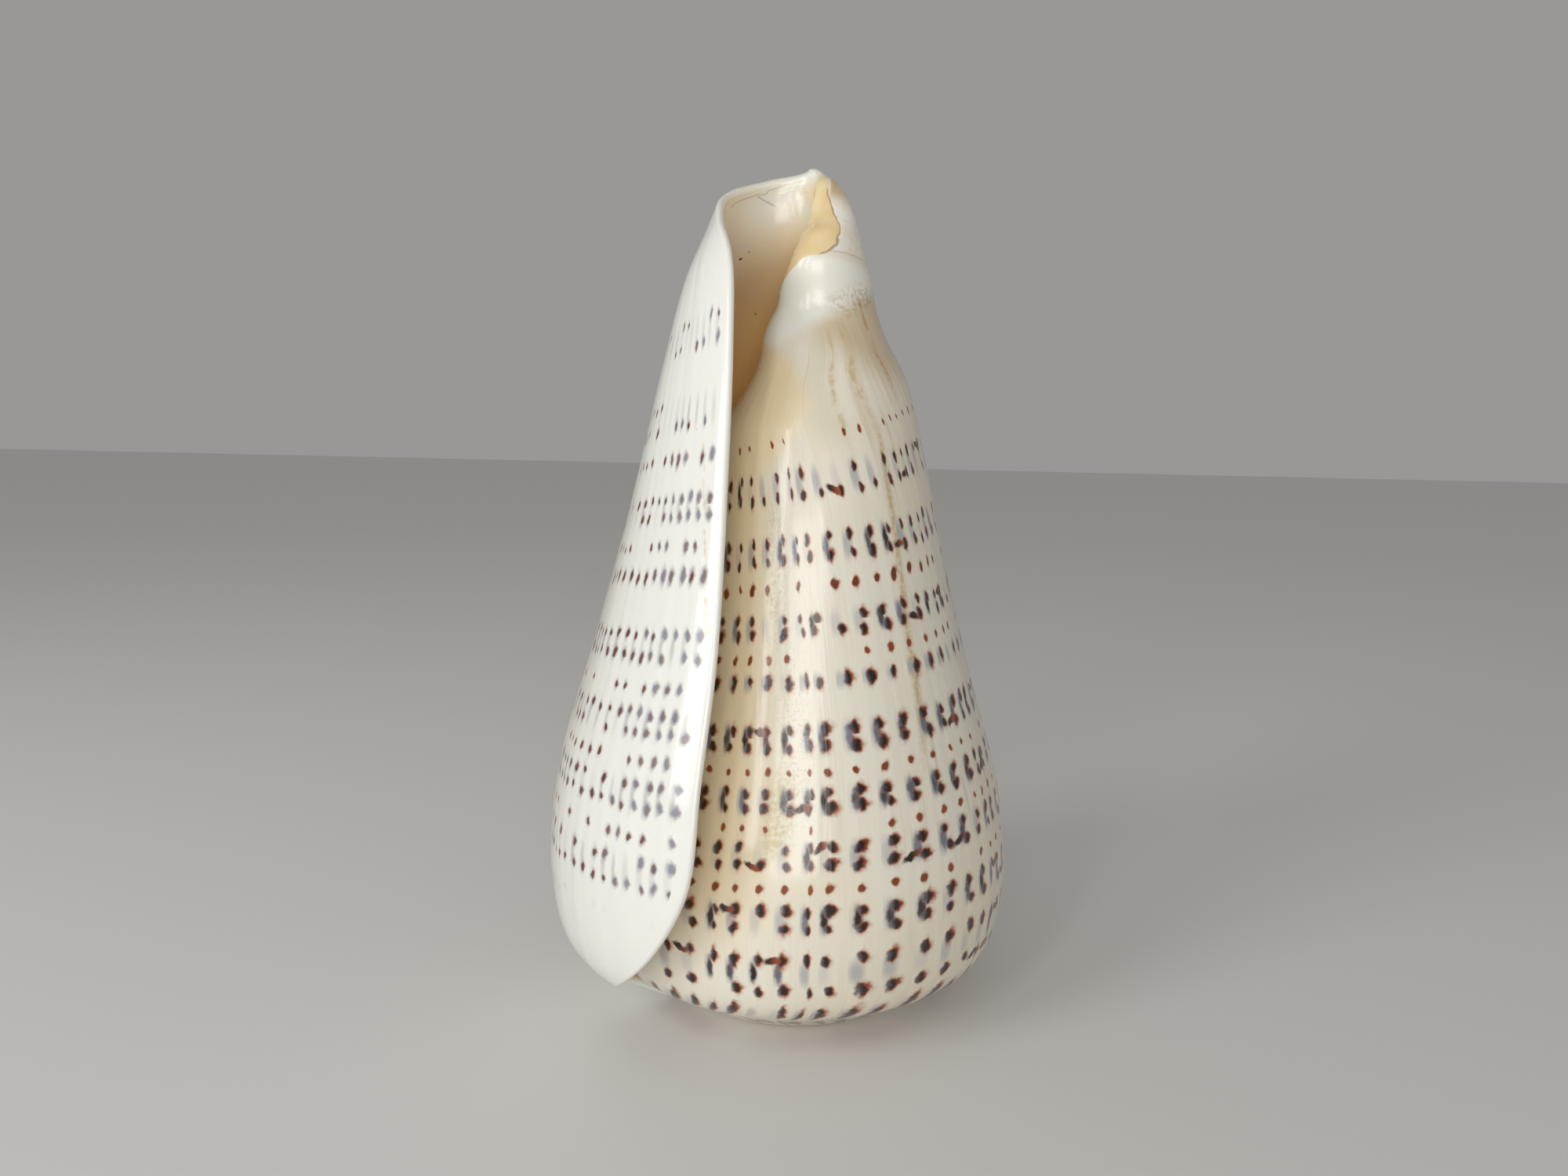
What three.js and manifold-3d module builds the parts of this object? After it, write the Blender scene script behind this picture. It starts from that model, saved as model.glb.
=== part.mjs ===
// A cone shell, standing on its flat spire with the open canal end up. Millimetres, +Z up.
// One wall coils around the upright axis, anticlockwise seen from above, and every turn repeats
// the turn before it at a larger size.
import * as THREE from 'three';
import { mergeVertices } from 'three/addons/utils/BufferGeometryUtils.js';
import Module from 'manifold-3d';

const shellHeight = 130;
const radiusKeptPerTurn = 0.81; // going one turn back from the lip
const heightKeptPerTurn = 0.77;
const lipDirection = THREE.MathUtils.degToRad(-104); // where the straight front of the lip stands

const lipThickness = 1.2;
const wallThickness = 2.6;
const turnsToFullWall = 0.2;
const columellaThickness = 5; // the rolled edge of the wall, around the axis
const columellaFromLevel = { atLip: 0.955, inside: 0.9 };
const mostOfRadius = 0.9; // the rolled edge stops short of the axis
const noseReach = 0.3; // how far the rolled edge bulges up, as a share of its thickness

// More than half a turn back from the lip, the canal end narrows to a slim pillar.
const pillarNarrowing = 0.45;
const narrowingTurns = { from: 0.5, to: 0.8 };
const narrowingFromLevel = 0.88;

const stepsPerTurn = 32;
const stepsPerLipPoint = 2;
const innerWhorls = 6;
const innerWhorlShrink = 0.996; // keeps each older whorl just inside the surface that hides it
const rootOfWall = 1.03; // turns back from the lip, just inside the older whorl

// The edge of the lip, from the suture at the spire to the tip of the canal. level is the share of
// the shell's height, radius is in millimetres, and lag is how many degrees the edge stands behind
// the straight front of the lip. Two points at level 0 make the ring that the shell stands on.
const lipEdge = [
  { level: 0.012, radius: 17.2, lag: 58 },
  { level: 0, radius: 18.8, lag: 54 },
  { level: 0, radius: 20.4, lag: 52 },
  { level: 0.04, radius: 28.9, lag: 46 },
  { level: 0.08, radius: 36.4, lag: 29 },
  { level: 0.14, radius: 39.3, lag: 16 },
  { level: 0.22, radius: 39.8, lag: 8 },
  { level: 0.32, radius: 38, lag: 7 },
  { level: 0.46, radius: 32.9, lag: 7 },
  { level: 0.62, radius: 27.4, lag: 10 },
  { level: 0.78, radius: 22.6, lag: 15 },
  { level: 0.87, radius: 19.5, lag: 22 },
  { level: 0.925, radius: 15.6, lag: 45 },
  { level: 0.96, radius: 12.5, lag: 78 },
  { level: 0.981, radius: 10, lag: 130 },
  { level: 0.989, radius: 7.8, lag: 186 },
];

const { smoothstep, degToRad, lerp } = THREE.MathUtils;
const lipCurve = new THREE.CatmullRomCurve3(
  lipEdge.map(({ level, radius, lag }) => new THREE.Vector3(radius, lag, level * shellHeight)),
);

const stepsAlongLip = stepsPerLipPoint * (lipEdge.length - 1);

// A point on the outside of the shell. turn is 0 at the lip and -1 one whorl back from it, and
// along runs from 0 at the suture to 1 at the tip of the canal.
function outsidePoint(turn, along) {
  const { x: lipRadius, y: lag, z: lipHeight } = lipCurve.getPoint(along);
  const reach = Math.max(0, lipHeight / shellHeight - narrowingFromLevel) / (1 - narrowingFromLevel);
  const narrowing = pillarNarrowing * reach ** 2
    * smoothstep(-turn, narrowingTurns.from, narrowingTurns.to);
  const radius = lipRadius * radiusKeptPerTurn ** -turn * (1 - narrowing);
  const angle = lipDirection + 2 * Math.PI * turn - degToRad(lag);
  const height = Math.max(0, lipHeight) * heightKeptPerTurn ** -turn;
  return new THREE.Vector3(radius * Math.cos(angle), radius * Math.sin(angle), height);
}

// Lines across the whorl leave the lip in its own shape and straighten until, one turn back, they
// lie in a plane through the axis.
function turnAt(back, along) {
  return -back + Math.min(1, back) * lipCurve.getPoint(along).y / 360;
}

function directionsAt(turn, along) {
  const step = 1e-3;
  const [before, after] = [Math.max(0, along - step), Math.min(1, along + step)];
  const growth = outsidePoint(turn + step, along).sub(outsidePoint(turn - step, along)).normalize();
  const across = outsidePoint(turn, after).sub(outsidePoint(turn, before));
  const outward = growth.clone().cross(across).normalize();
  return { growth, outward };
}

// The wall is thin at the lip, thicker inside and thickest where it rolls in around the axis.
function liningPoint(turn, along) {
  const { x: lipRadius, z: lipHeight } = lipCurve.getPoint(along);
  const grown = smoothstep(-turn, 0, turnsToFullWall);
  const rollStart = lerp(columellaFromLevel.atLip, columellaFromLevel.inside, grown);
  const rolled = smoothstep(lipHeight / shellHeight, rollStart, 1);
  const wall = lerp(lipThickness, wallThickness, grown);
  const radius = lipRadius * radiusKeptPerTurn ** -turn;
  const thickness = Math.min(lerp(wall, columellaThickness, rolled), mostOfRadius * radius);

  const point = outsidePoint(turn, along);
  const fromAxis = new THREE.Vector3(point.x, point.y, 0).normalize();
  const outward = directionsAt(turn, along).outward.lerp(fromAxis, rolled).normalize();
  return point.addScaledVector(outward, -thickness);
}

// The wall's section, as a closed ring of points with a round nose at the canal end.
function wallSection(back) {
  const outer = [];
  const inner = [];
  for (let i = 0; i <= stepsAlongLip; i++) {
    const along = i / stepsAlongLip;
    outer.push(outsidePoint(turnAt(back, along), along));
    inner.push(liningPoint(turnAt(back, along), along));
  }
  const [skin, lining] = [outer.at(-1), inner.at(-1)];
  const { growth, outward } = directionsAt(turnAt(back, 1), 1);
  const nose = outward.cross(growth).multiplyScalar(noseReach * skin.distanceTo(lining));
  outer.push(skin.clone().lerp(lining, 0.3).add(nose));
  inner.push(skin.clone().lerp(lining, 0.7).add(nose));
  return [...outer, ...inner.reverse()];
}

// Closes the wall at a section: both sides meet on a line that stands push times half the wall's
// thickness in front of the section.
function closingLine(section, back, push) {
  const last = section.length - 1;
  return section.map((point, i) => {
    const opposite = section[last - i];
    const along = Math.min(i, last - i, stepsAlongLip) / stepsAlongLip;
    const { growth } = directionsAt(turnAt(back, along), along);
    return point.clone().lerp(opposite, 0.5).addScaledVector(growth, push * point.distanceTo(opposite) / 2);
  });
}

const wasm = await Module();
wasm.setup();

function solidFromGeometry(geometry) {
  geometry.deleteAttribute('normal');
  geometry.deleteAttribute('uv');
  const merged = mergeVertices(geometry, 1e-4);
  const corners = merged.index.array;
  const kept = [];
  for (let i = 0; i < corners.length; i += 3) {
    const [a, b, c] = corners.slice(i, i + 3);
    if (a !== b && b !== c && c !== a) kept.push(a, b, c);
  }
  return new wasm.Manifold(new wasm.Mesh({
    numProp: 3,
    vertProperties: merged.attributes.position.array,
    triVerts: new Uint32Array(kept),
  }));
}

// A solid whose skin runs through rows of points, one row per turn step. Each four-cornered patch
// is split along its shorter diagonal.
function solidThroughRows(rows, { closeRows = false, closeColumns = false }) {
  const points = rows.flat();
  const columns = rows[0].length;
  const index = [];
  for (let r = 0; r < (closeRows ? rows.length : rows.length - 1); r++) {
    for (let c = 0; c < (closeColumns ? columns : columns - 1); c++) {
      const [nextRow, nextColumn] = [(r + 1) % rows.length, (c + 1) % columns];
      const here = r * columns + c;
      const ahead = nextRow * columns + c;
      const aheadUp = nextRow * columns + nextColumn;
      const up = r * columns + nextColumn;
      if (points[here].distanceTo(points[aheadUp]) < points[ahead].distanceTo(points[up])) {
        index.push(here, ahead, aheadUp, here, aheadUp, up);
      } else {
        index.push(here, ahead, up, ahead, aheadUp, up);
      }
    }
  }
  const positions = points.flatMap((point) => point.toArray());
  const geometry = new THREE.BufferGeometry();
  geometry.setAttribute('position', new THREE.Float32BufferAttribute(positions, 3));
  geometry.setIndex(index);
  return solidFromGeometry(geometry);
}

// The last whorl: a hollow wall, with a round lip in front.
function lastWhorl() {
  const sections = [];
  for (let i = 0; i <= stepsPerTurn; i++) {
    sections.push(wallSection(rootOfWall * (1 - i / stepsPerTurn)));
  }
  const root = closingLine(sections[0], rootOfWall, 0);
  const lip = closingLine(sections.at(-1), 0, 1);
  return solidThroughRows([root, ...sections, lip], { closeColumns: true });
}

// An older whorl, filled to the axis. Only its band of the spire and what the aperture shows of it
// stay in sight.
function filledWhorl(age) {
  const steps = age === 1 ? stepsPerTurn : stepsPerTurn / 2;
  const rows = [];
  for (let i = 0; i <= steps; i++) {
    const back = age + 1 - i / steps;
    const row = [];
    for (let j = 0; j <= stepsAlongLip; j++) {
      const along = j / stepsAlongLip;
      row.push(outsidePoint(turnAt(back, along), along));
    }
    rows.push(row);
  }
  const axisTop = new THREE.Vector3(0, 0, rows[0].at(-1).z);
  const axisBottom = new THREE.Vector3(0, 0, rows[0][0].z);
  return solidThroughRows(rows.map((row) => [axisBottom, ...row, axisTop]), { closeRows: true })
    .scale(innerWhorlShrink ** age);
}

function coneShell() {
  let solid = lastWhorl();
  for (let age = 1; age <= innerWhorls; age++) solid = solid.add(filledWhorl(age));
  const { vertProperties, triVerts } = solid.getMesh();
  const geometry = new THREE.BufferGeometry();
  geometry.setAttribute('position', new THREE.BufferAttribute(vertProperties, 3));
  geometry.setIndex(new THREE.BufferAttribute(triVerts, 1));
  geometry.computeBoundingBox();
  const { min, max } = geometry.boundingBox;
  geometry.translate(-(min.x + max.x) / 2, -(min.y + max.y) / 2, -min.z);
  geometry.computeVertexNormals();

  const porcelain = new THREE.MeshStandardMaterial({ color: 0xefe8da, roughness: 0.2, metalness: 0 });
  const mesh = new THREE.Mesh(geometry, porcelain);
  mesh.name = 'cone_shell';
  return mesh;
}

const shell = new THREE.Group();
shell.add(coneShell());

export default shell;
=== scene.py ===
import math

import bmesh
import bpy
import numpy as np
from mathutils import Matrix, Vector


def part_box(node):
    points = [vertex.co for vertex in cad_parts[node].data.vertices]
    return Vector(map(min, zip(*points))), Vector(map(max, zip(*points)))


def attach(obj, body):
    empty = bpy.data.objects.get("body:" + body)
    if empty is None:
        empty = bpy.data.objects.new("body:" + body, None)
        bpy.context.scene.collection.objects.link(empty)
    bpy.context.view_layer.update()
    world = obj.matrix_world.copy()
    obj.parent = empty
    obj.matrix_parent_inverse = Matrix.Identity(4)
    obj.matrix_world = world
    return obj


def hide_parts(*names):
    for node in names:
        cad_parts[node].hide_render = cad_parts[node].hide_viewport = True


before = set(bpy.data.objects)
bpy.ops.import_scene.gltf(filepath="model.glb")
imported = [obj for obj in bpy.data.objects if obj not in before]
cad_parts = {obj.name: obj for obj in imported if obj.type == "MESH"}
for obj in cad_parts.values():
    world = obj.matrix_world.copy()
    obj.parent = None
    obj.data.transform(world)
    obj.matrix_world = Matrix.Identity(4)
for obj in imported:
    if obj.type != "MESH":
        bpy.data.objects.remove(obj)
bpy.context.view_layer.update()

mm = 0.001

# the spiral that the whole shell grows along, in millimetres and turns
growth = {
    "height": 130.0,
    "radiusKeptPerTurn": 0.81,
    "heightKeptPerTurn": 0.77,
    "lipDirection": -104.0,        # degrees; -90 faces the camera
    "canalNarrowing": 0.55,        # the inner end of the canal draws in to the axis
    "narrowingTurns": (0.416, 0.688),
    "narrowingFromLevel": 0.88,
    "pillarSwell": (0.4, 0.78, 0.12),   # how much less it draws in, round which turn, how widely
}

# growth lines lean back near the spire and near the canal: from which levels, and how strongly
growthLines = {
    "leanBelow": 0.26,
    "lowLean": 1.8,
    "leanAbove": 0.87,
    "highLean": 20,
}

# the edge of the lip: level as a share of the height, radius in millimetres, and how many degrees
# the edge stands behind the straight front of the lip
lipEdge = [
    (0.012, 17.2, 58), (0, 18.8, 54), (0, 20.4, 52), (0.04, 28.9, 46),
    (0.08, 36.4, 29), (0.14, 39.3, 16), (0.22, 39.8, 8), (0.32, 38, 7),
    (0.46, 32.9, 7), (0.62, 27.4, 10), (0.78, 22.6, 15), (0.87, 19.5, 22),
    (0.925, 15.6, 45), (0.96, 12.5, 78), (0.981, 10, 130), (0.989, 7.8, 186),
]

wall = {
    "atLip": 1.2,                  # thickness in millimetres
    "inside": 2.6,
    "lipTurns": 0.004,             # how many turns the lip's round edge takes up
    "turnsToFull": 0.2,
    "columellaFrom": (0.955, 0.9), # level where it starts to roll, at the lip and inside
    # the rolled edge round the axis: turns back, thickness, the most of the radius that it fills,
    # and how far its nose bulges up as a share of its thickness
    "columella": [(0, 4.5, 0.92, 0.33), (0.04, 6.1, 0.85, 0.32), (0.09, 6.4, 0.89, 0.44),
                  (0.15, 6.6, 0.92, 0.4), (0.22, 7.0, 0.93, 0.29), (0.3, 7.1, 0.95, 0.31),
                  (0.38, 6.7, 0.89, 0.52), (0.46, 5.6, 0.91, 0.49), (0.56, 4.8, 0.89, 0.12)],
    "rootTurns": 1.03,             # where the hollow wall springs from the older whorl
}

# the older whorls are sunk a little into the one that covers them, in millimetres
older = {
    "count": 6,
    "sunkPerAge": 0.015,
    "sunkFurther": 0.1,
    "sunkFurtherTurns": (0.1, 0.5),
    "sunkAtStart": 0.35,
    "startTurns": 0.026,
    "pinhole": 0.08,               # share of the radius left open round the axis
}

fineness = {
    "nearLipSteps": 76,            # steps over the first nearLipTurns
    "nearLipTurns": 0.12,
    "backSteps": 250,
    "lipRoundSteps": 6,
    "alongSteps": 92,
    "noseSteps": 5,
    "olderBackSteps": 150,
    "olderAlongSteps": 90,
    "mergeWithin": 0.002,          # millimetres
    "sharpAngle": 40,              # degrees
    "crumbSize": 100,              # loose bits with fewer corners are dropped
}

relief = {
    "waves": 0.02,                 # soft growth waves, in millimetres
    "wavesPerTurn": (9, 17, 27, 41, 62, 83),
    "fadesIn": (0.02, 0.09),       # levels
    "fadesOut": (0.93, 0.975),
    "crease": 0.12,                # one old lip line, healed over, in millimetres
    "creaseAt": 0.056,             # turns back
    "creaseWidth": 0.0045,
    "creaseHeals": 0.03,
    "creaseWeakens": (0.3, 0.45),  # half as deep above these levels
    "seed": 11,
}


def ease(value, start, end):
    share = np.clip((value - start) / (end - start), 0, 1)
    return share * share * (3 - 2 * share)


def lipCurveTable(count):
    # a centripetal spline through the lip's points, as the solid has it
    level, radius, lag = np.array(lipEdge, float).T
    points = np.stack([radius, lag, level * growth["height"]], axis=1)
    ends = np.vstack([2 * points[0] - points[1], points, 2 * points[-1] - points[-2]])
    place = np.linspace(0, 1, count) * (len(points) - 1)
    piece = np.minimum(place.astype(int), len(points) - 2)
    share = (place - piece)[:, None]
    before, here, there, after = (ends[piece + step] for step in range(4))

    def knot(a, b):
        return np.sum((b - a) ** 2, axis=1, keepdims=True) ** 0.25

    first, middle, last = knot(before, here), knot(here, there), knot(there, after)
    leave = ((here - before) / first - (there - before) / (first + middle)) * middle + there - here
    arrive = there - here - ((after - here) / (middle + last) - (after - there) / last) * middle
    cubic = 2 * here - 2 * there + leave + arrive
    square = 3 * there - 3 * here - 2 * leave - arrive
    return here + share * (leave + share * (square + share * cubic))


tableAlong = np.linspace(0, 1, 3001)
lipTable = lipCurveTable(len(tableAlong))


def lipAt(along):
    return tuple(np.interp(along, tableAlong, lipTable[:, axis]) for axis in range(3))


def turnAt(back, along):
    # lines across the whorl leave the lip in its own shape and straighten until one turn back
    return -back + np.minimum(1, back) * lipAt(along)[1] / 360


def outsideAt(turn, along):
    lipRadius, lag, lipHeight = lipAt(along)
    fromLevel = growth["narrowingFromLevel"]
    reach = np.maximum(0, lipHeight / growth["height"] - fromLevel) / (1 - fromLevel)
    narrowing = growth["canalNarrowing"] * reach ** 2 * ease(-turn, *growth["narrowingTurns"])
    swell, swellTurn, swellWidth = growth["pillarSwell"]
    narrowing = narrowing * (1 - swell * np.exp(-((-turn - swellTurn) / swellWidth) ** 2))
    radius = lipRadius * growth["radiusKeptPerTurn"] ** -turn * (1 - narrowing)
    angle = np.radians(growth["lipDirection"] + 360 * turn - lag)
    height = np.maximum(0, lipHeight) * growth["heightKeptPerTurn"] ** -turn
    return np.stack([radius * np.cos(angle), radius * np.sin(angle), height], axis=-1)


def unit(vectors):
    return vectors / np.maximum(np.linalg.norm(vectors, axis=-1, keepdims=True), 1e-9)


def directionsAt(turn, along):
    step = 1e-3
    forward = unit(outsideAt(turn + step, along) - outsideAt(turn - step, along))
    before, after = np.maximum(0, along - step), np.minimum(1, along + step)
    across = outsideAt(turn, after) - outsideAt(turn, before)
    return forward, unit(np.cross(forward, across))


def rolledEdge(back, what):
    # reads the rolled edge's table, with its corners rounded off
    backs, *columns = np.array(wall["columella"]).T
    values = columns[("thickness", "room", "nose").index(what)]
    nearby = (-0.024, -0.012, 0, 0.012, 0.024)
    return sum(np.interp(back + step, backs, values) for step in nearby) / len(nearby)


def liningAt(turn, along):
    lipHeight = lipAt(along)[2]
    grown = ease(-turn, 0, wall["turnsToFull"])
    fromAtLip, fromInside = wall["columellaFrom"]
    rollStart = fromAtLip + grown * (fromInside - fromAtLip)
    rolled = ease(lipHeight / growth["height"], rollStart, 1)
    thickness = wall["atLip"] + grown * (wall["inside"] - wall["atLip"])
    thickness = thickness + rolled * (rolledEdge(-turn, "thickness") - thickness)
    point = outsideAt(turn, along)
    mostRoom = rolledEdge(-turn, "room") * np.linalg.norm(point[..., :2], axis=-1)
    fromAxis = unit(point * (1, 1, 0))
    outward = directionsAt(turn, along)[1]
    outward = unit(outward + rolled[..., None] * (fromAxis - outward))
    return point - outward * np.minimum(thickness, mostRoom)[..., None]


def growthPlace(back, level):
    # the same number all along one growth line
    low = np.maximum(0, growthLines["leanBelow"] - level)
    high = np.maximum(0, level - growthLines["leanAbove"])
    return back + growthLines["lowLean"] * low ** 2 + growthLines["highLean"] * high ** 2


def reliefAt(turn, along):
    # how far the outside stands out of the plain spiral, in millimetres
    level = lipAt(along)[2] / growth["height"]
    place = growthPlace(-turn, level)
    rng = np.random.default_rng(relief["seed"])
    waves = 0
    for wavesPerTurn in relief["wavesPerTurn"]:
        shift, lean = rng.uniform(0, 2 * math.pi), rng.uniform(-3, 3)
        swell = 0.6 + 0.4 * np.sin(2 * math.pi * (place * rng.uniform(1, 4) + level * rng.uniform(0.3, 1)))
        waves = waves + swell * np.sin(2 * math.pi * wavesPerTurn * place + shift + lean * level)
    fade = ease(level, *relief["fadesIn"]) * (1 - ease(level, *relief["fadesOut"]))
    lower = 0.5 + 0.5 * (1 - ease(level, *relief["creaseWeakens"]))
    creaseAt, creaseWidth = relief["creaseAt"], relief["creaseWidth"]
    groove = np.exp(-((place - creaseAt) / creaseWidth) ** 2)
    step = ease(place, creaseAt - creaseWidth, creaseAt + relief["creaseHeals"]) - 1
    groove = groove + 0.3 * step * (place < 0.2)
    return fade * (relief["waves"] * waves - relief["crease"] * lower * groove)


def gridMesh(name, rows, growthUv):
    # a grid whose corners take their places and their UVs from rows and columns of numbers
    rowCount, columnCount = rows.shape[:2]
    bm = bmesh.new()
    bmesh.ops.create_grid(bm, x_segments=columnCount - 1, y_segments=rowCount - 1, size=0.5)
    layer = bm.loops.layers.uv.new("growth")
    columnOf = [round((v.co.x + 0.5) * (columnCount - 1)) for v in bm.verts]
    rowOf = [round((v.co.y + 0.5) * (rowCount - 1)) for v in bm.verts]
    for vertex, row, column in zip(bm.verts, rowOf, columnOf):
        vertex.co = Vector(rows[row, column]) * mm
    for face in bm.faces:
        for loop in face.loops:
            row, column = rowOf[loop.vert.index], columnOf[loop.vert.index]
            loop[layer].uv = growthUv[row, column]
    bmesh.ops.remove_doubles(bm, verts=bm.verts, dist=fineness["mergeWithin"] * mm)
    bmesh.ops.dissolve_degenerate(bm, edges=bm.edges, dist=fineness["mergeWithin"] * mm)
    bmesh.ops.recalc_face_normals(bm, faces=bm.faces)
    mesh = bpy.data.meshes.new(name)
    bm.to_mesh(mesh)
    bm.free()
    piece = bpy.data.objects.new(name, mesh)
    bpy.context.collection.objects.link(piece)
    return piece


def growthMap(turn, along, lined):
    # turns back and level; on the lining the second number counts down from 2
    level = lipAt(along)[2] / growth["height"]
    return np.stack([-turn, 2 - level if lined else level], axis=-1)


def noseOver(turn, skin, lining, skinUv, liningUv):
    # the round nose of the wall at the canal end, from the skin over to the lining, and its map
    forward, outward = directionsAt(turn, 1.0)
    bulge = np.cross(outward, forward) * rolledEdge(-turn, "nose")[..., None]
    bulge = bulge * np.linalg.norm(skin - lining, axis=-1, keepdims=True)
    share = (np.arange(fineness["noseSteps"]) + 1) / (fineness["noseSteps"] + 1)
    angle = (share * math.pi)[None, :, None]
    places = (skin + lining) / 2 + np.cos(angle) * (skin - lining) / 2 + np.sin(angle) * bulge
    return places, skinUv + share[None, :, None] * (liningUv - skinUv)


def lastWhorl():
    # the hollow wall: rows run from the root to the lip, columns round the wall's section
    nearLip = np.linspace(0, fineness["nearLipTurns"], fineness["nearLipSteps"], endpoint=False)
    further = np.linspace(fineness["nearLipTurns"], wall["rootTurns"], fineness["backSteps"] + 1)
    backs = np.concatenate([nearLip, further])[::-1]
    steps = np.linspace(0, 1, fineness["alongSteps"] + 1)
    back, along = (a.copy() for a in np.broadcast_arrays(backs[:, None], steps[None, :]))
    turn = turnAt(back, along)
    forward, outward = directionsAt(turn, along)
    plain = outsideAt(turn, along)
    outer = plain + outward * reliefAt(turn, along)[..., None]
    inner = liningAt(turn, along)
    outerUv = growthMap(turn, along, lined=False)
    innerUv = growthMap(turn, along, lined=True)
    nose, noseUv = noseOver(turn[:, -1:], outer[:, -1:], inner[:, -1:], outerUv[:, -1:], innerUv[:, -1:])

    def ring(outerPart, nosePart, innerPart, last):
        return np.concatenate([outerPart, nosePart, innerPart[:, ::-1], last], axis=1)

    section = ring(outer, nose, inner, outer[:, :1])
    growthUv = ring(outerUv, noseUv, innerUv, innerUv[:, :1])
    ahead = np.concatenate([forward, np.repeat(forward[:, -1:], fineness["noseSteps"], axis=1),
                            forward[:, ::-1], forward[:, :1]], axis=1)

    # both ends close on the middle line of the wall, the lip with a round edge
    def opposite(row):
        return np.concatenate([row[:-1][::-1], row[-2:-1]])

    middle = (section + np.stack([opposite(row) for row in section])) / 2
    half = np.linalg.norm(section - middle, axis=-1, keepdims=True)
    rounding, roundUv = [], []
    for step in range(1, fineness["lipRoundSteps"] + 1):
        angle = step / fineness["lipRoundSteps"] * math.pi / 2
        rounding.append(middle[-1] + math.cos(angle) * (section[-1] - middle[-1])
                        + math.sin(angle) * ahead[-1] * half[-1])
        roundUv.append(growthUv[-1] - (wall["lipTurns"] * math.sin(angle), 0))
    rows = np.concatenate([middle[:1], section, rounding])
    return gridMesh("cone_shell", rows, np.concatenate([growthUv[:1], growthUv, roundUv]))


def olderWhorl(age):
    # filled to the axis; only its band of the spire and what the slit shows of it stay in sight
    steps = fineness["olderBackSteps"] if age == 1 else fineness["olderBackSteps"] // 2
    backs = np.linspace(age + 1, age, steps + 1)
    alongs = np.linspace(0, 1, fineness["olderAlongSteps"] + 1)
    back, along = (a.copy() for a in np.broadcast_arrays(backs[:, None], alongs[None, :]))
    turn = turnAt(back, along)
    outward = directionsAt(turn, along)[1]
    # each older whorl stays just inside the one that covers it, deeper where it starts
    sunk = (older["sunkPerAge"] * age
            + older["sunkFurther"] * ease(back - age, *older["sunkFurtherTurns"])
            + older["sunkAtStart"] * (1 - ease(back - age, 0, older["startTurns"])))
    outer = outsideAt(turn, along) + outward * (reliefAt(turn, along) - sunk)[..., None]
    outerUv = growthMap(turn, along, lined=False)
    innerUv = growthMap(turn[:, -1:], along[:, -1:], lined=True)
    rolled = liningAt(turn[:, -1:], along[:, -1:])
    nose, noseUv = noseOver(turn[:, -1:], outer[:, -1:], rolled, outerUv[:, -1:], innerUv)
    foot = np.zeros((steps + 1, 1, 3))
    foot[:, 0, 2] = outer[0, 0, 2]
    # the top winds down round the axis like a spiral stair, with a pinhole in the middle
    pinhole = rolled * (older["pinhole"], older["pinhole"], 1)
    bottom = np.repeat(pinhole[:1] * (0, 0, 1), steps + 1, axis=0)
    rows = np.concatenate([foot, outer, nose, rolled, pinhole, bottom], axis=1)
    growthUv = np.concatenate([outerUv[:, :1], outerUv, noseUv] + [innerUv] * 3, axis=1)
    # a last row closes the ring of rows
    rows = np.concatenate([rows, rows[:1]])
    growthUv = np.concatenate([growthUv, growthUv[-1:]])
    return gridMesh("olderWhorl%d" % age, rows, growthUv)


def uniteWith(piece, other):
    union = piece.modifiers.new("union", "BOOLEAN")
    union.operation = "UNION"
    union.solver = "MANIFOLD"
    union.object = other
    evaluated = piece.evaluated_get(bpy.context.evaluated_depsgraph_get())
    mesh = bpy.data.meshes.new_from_object(evaluated)
    piece.modifiers.clear()
    piece.data = mesh
    bpy.data.objects.remove(other)


def dropCrumbs(piece):
    # the unions can leave a few loose corners behind
    bm = bmesh.new()
    bm.from_mesh(piece.data)
    unseen = set(bm.verts)
    crumbs = []
    while unseen:
        island = [unseen.pop()]
        for vertex in island:
            for edge in vertex.link_edges:
                other = edge.other_vert(vertex)
                if other in unseen:
                    unseen.remove(other)
                    island.append(other)
        if len(island) < fineness["crumbSize"]:
            crumbs += island
    bmesh.ops.delete(bm, geom=crumbs, context="VERTS")
    bm.to_mesh(piece.data)
    bm.free()


def fitTo(piece, lowest, highest):
    # stretches the piece by a hair so that it fills the solid's own box
    places = np.empty(len(piece.data.vertices) * 3)
    piece.data.vertices.foreach_get("co", places)
    places = places.reshape(-1, 3)
    low, high = places.min(axis=0), places.max(axis=0)
    places = (places - low) / (high - low) * (highest - lowest) + lowest
    piece.data.vertices.foreach_set("co", places.ravel())
    piece.data.update()


def makeShell():
    shell = lastWhorl()
    for age in range(1, older["count"] + 1):
        uniteWith(shell, olderWhorl(age))
    dropCrumbs(shell)
    lowest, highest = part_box("cone_shell")
    fitTo(shell, np.array(lowest), np.array(highest))
    for polygon in shell.data.polygons:
        polygon.use_smooth = True
    shell.data.set_sharp_from_angle(angle=math.radians(fineness["sharpAngle"]))
    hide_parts("cone_shell")
    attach(shell, "root")
    return shell


shell = makeShell()
print("shell modelled:", len(shell.data.polygons), "faces")

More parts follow.
